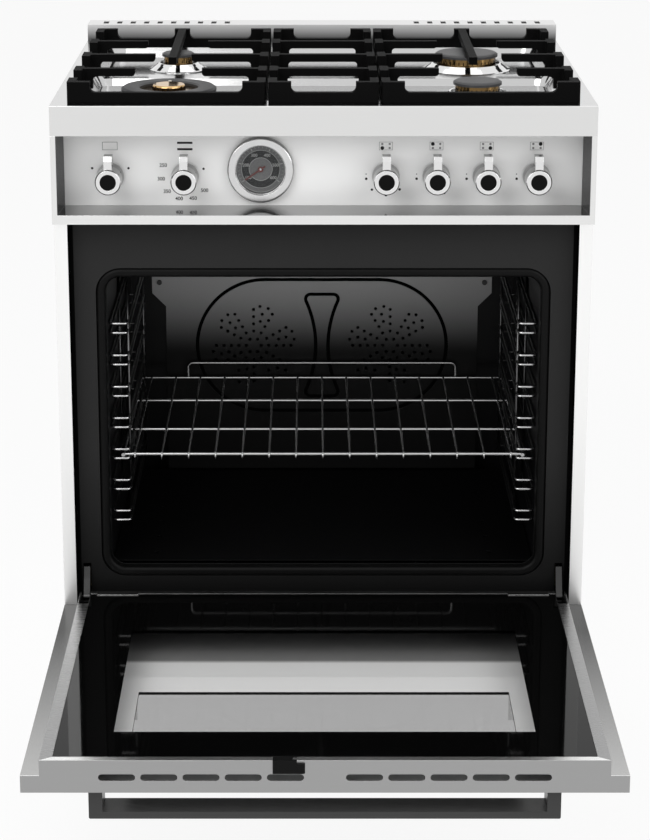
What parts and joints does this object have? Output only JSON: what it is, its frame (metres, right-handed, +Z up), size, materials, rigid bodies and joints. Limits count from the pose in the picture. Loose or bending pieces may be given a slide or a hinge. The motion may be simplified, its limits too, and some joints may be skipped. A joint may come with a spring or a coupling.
{
  "type": "freestanding gas range",
  "caption": "Freestanding gas range with a drop-down oven door, sliding wire rack, convection fans, cast grates over brass burners and a recessed control panel.",
  "frame": {"origin": "on the floor, at the centre of the footprint with the door open", "axes": "+Z up, the door opens toward -Y, +X to the viewer's right"},
  "size_m": [0.759, 1.1853, 0.965],
  "materials": {
    "stainless": "brushed stainless",
    "galvanized": "galvanized sheet",
    "black_enamel": "black vitreous enamel",
    "grey_enamel": "dark grey enamel",
    "chrome": "polished",
    "cast_iron": "matte black",
    "cap_enamel": "matte enamel",
    "brass": "machined",
    "steel": "plain",
    "black_paint": "satin black",
    "black_plastic": "matte",
    "gasket_rubber": "silicone",
    "wool": "fibre blanket",
    "clear_glass": "clear",
    "dark_glass": "black border with a clear window",
    "lamp_glass": "frosted",
    "ceramic": "glazed ceramic"
  },
  "bodies": {
    "body": {"side_panel_left": "stainless", "side_panel_right": "stainless", "kick_panel": "stainless", "control_surround": "stainless", "control_fascia": "stainless", "cooktop": "stainless", "backguard": "stainless", "base_pan": "galvanized", "back_panel": "galvanized", "front_frame": "black_enamel", "oven_liner": "black_enamel", "oven_floor": "black_enamel", "fan_cover": "grey_enamel", "ladder_left": "chrome", "ladder_right": "chrome", "burner_cups": "chrome", "gauge_case": "chrome", "burner_caps": "cap_enamel", "burner_heads": "brass", "leveling_feet": "steel", "bake_burner": "steel", "broil_burner": "steel", "cover_screws": "steel", "fan_motors": "steel", "hinge_arms": "steel", "gas_manifold": "steel", "gas_valves": "steel", "door_gasket": "gasket_rubber", "insulation": "wool", "gauge_glass": "clear_glass", "oven_lamp": "lamp_glass", "igniters": "ceramic"},
    "door": {"door_skin": "stainless", "door_frame": "stainless", "door_outer_glass": "clear_glass", "door_inner_glass": "dark_glass", "glass_clips": "stainless", "door_catch": "black_plastic", "door_handle": "black_paint", "hinge_channels": "steel", "hinge_pins": "steel"},
    "rack": {"oven_rack": "chrome", "rack_rail": "chrome"},
    "fan_left": {"fan_left": "steel"},
    "fan_right": {"fan_right": "steel"},
    "needle": {"gauge_needle": "black_paint"},
    "grate_left": {"grate_left": "cast_iron"},
    "grate_centre": {"grate_centre": "cast_iron"},
    "grate_right": {"grate_right": "cast_iron"},
    "knob_selector": {"knob_selector": "chrome"},
    "stem_oven": {"stem_oven": "steel"},
    "knob_oven": {"knob_oven": "chrome"},
    "stem_front_left": {"stem_front_left": "steel"},
    "knob_front_left": {"knob_front_left": "chrome"},
    "stem_rear_left": {"stem_rear_left": "steel"},
    "knob_rear_left": {"knob_rear_left": "chrome"},
    "stem_front_right": {"stem_front_right": "steel"},
    "knob_front_right": {"knob_front_right": "chrome"},
    "stem_rear_right": {"stem_rear_right": "steel"},
    "knob_rear_right": {"knob_rear_right": "chrome"}
  },
  "joints": [
    {"name": "door_hinge", "type": "hinge", "parent": "body", "child": "door", "pos_m": [0, -0.02425, 0.199], "axis": [1, 0, 0], "range_deg": [-90, 0]},
    {"name": "rack_slide", "type": "slide", "parent": "body", "child": "rack", "axis": [0, -1, 0], "range_m": [0, 0.3]},
    {"name": "fan_left_spin", "type": "hinge", "parent": "body", "child": "fan_left", "pos_m": [-0.1106, 0.44575, 0.456], "axis": [0, 1, 0], "continuous": true},
    {"name": "fan_right_spin", "type": "hinge", "parent": "body", "child": "fan_right", "pos_m": [0.1106, 0.44575, 0.456], "axis": [0, 1, 0], "continuous": true},
    {"name": "needle_turn", "type": "hinge", "parent": "body", "child": "needle", "pos_m": [-0.0888, 0.00575, 0.834], "axis": [0, -1, 0], "range_deg": [-250, 0]},
    {"name": "selector_turn", "type": "hinge", "parent": "body", "child": "knob_selector", "pos_m": [-0.302, -0.00425, 0.824], "axis": [0, -1, 0], "range_deg": [-55, 55]},
    {"name": "oven_push", "type": "slide", "parent": "body", "child": "stem_oven", "axis": [0, 1, 0], "range_m": [0, 0.003], "stiffness_N_per_m": 800},
    {"name": "oven_turn", "type": "hinge", "parent": "stem_oven", "child": "knob_oven", "pos_m": [-0.196, -0.00425, 0.824], "axis": [0, -1, 0], "range_deg": [0, 300]},
    {"name": "front_left_push", "type": "slide", "parent": "body", "child": "stem_front_left", "axis": [0, 1, 0], "range_m": [0, 0.003], "stiffness_N_per_m": 800},
    {"name": "front_left_turn", "type": "hinge", "parent": "stem_front_left", "child": "knob_front_left", "pos_m": [0.0885, -0.00425, 0.824], "axis": [0, -1, 0], "range_deg": [0, 235]},
    {"name": "rear_left_push", "type": "slide", "parent": "body", "child": "stem_rear_left", "axis": [0, 1, 0], "range_m": [0, 0.003], "stiffness_N_per_m": 800},
    {"name": "rear_left_turn", "type": "hinge", "parent": "stem_rear_left", "child": "knob_rear_left", "pos_m": [0.16, -0.00425, 0.824], "axis": [0, -1, 0], "range_deg": [0, 210]},
    {"name": "front_right_push", "type": "slide", "parent": "body", "child": "stem_front_right", "axis": [0, 1, 0], "range_m": [0, 0.003], "stiffness_N_per_m": 800},
    {"name": "front_right_turn", "type": "hinge", "parent": "stem_front_right", "child": "knob_front_right", "pos_m": [0.231, -0.00425, 0.824], "axis": [0, -1, 0], "range_deg": [0, 210]},
    {"name": "rear_right_push", "type": "slide", "parent": "body", "child": "stem_rear_right", "axis": [0, 1, 0], "range_m": [0, 0.003], "stiffness_N_per_m": 800},
    {"name": "rear_right_turn", "type": "hinge", "parent": "stem_rear_right", "child": "knob_rear_right", "pos_m": [0.302, -0.00425, 0.824], "axis": [0, -1, 0], "range_deg": [0, 210]},
    {"name": "grate_left_lift", "type": "slide", "parent": "body", "child": "grate_left", "axis": [0, 0, 1], "range_m": [0, 0.12]},
    {"name": "grate_centre_lift", "type": "slide", "parent": "body", "child": "grate_centre", "axis": [0, 0, 1], "range_m": [0, 0.12]},
    {"name": "grate_right_lift", "type": "slide", "parent": "body", "child": "grate_right", "axis": [0, 0, 1], "range_m": [0, 0.12]}
  ]
}
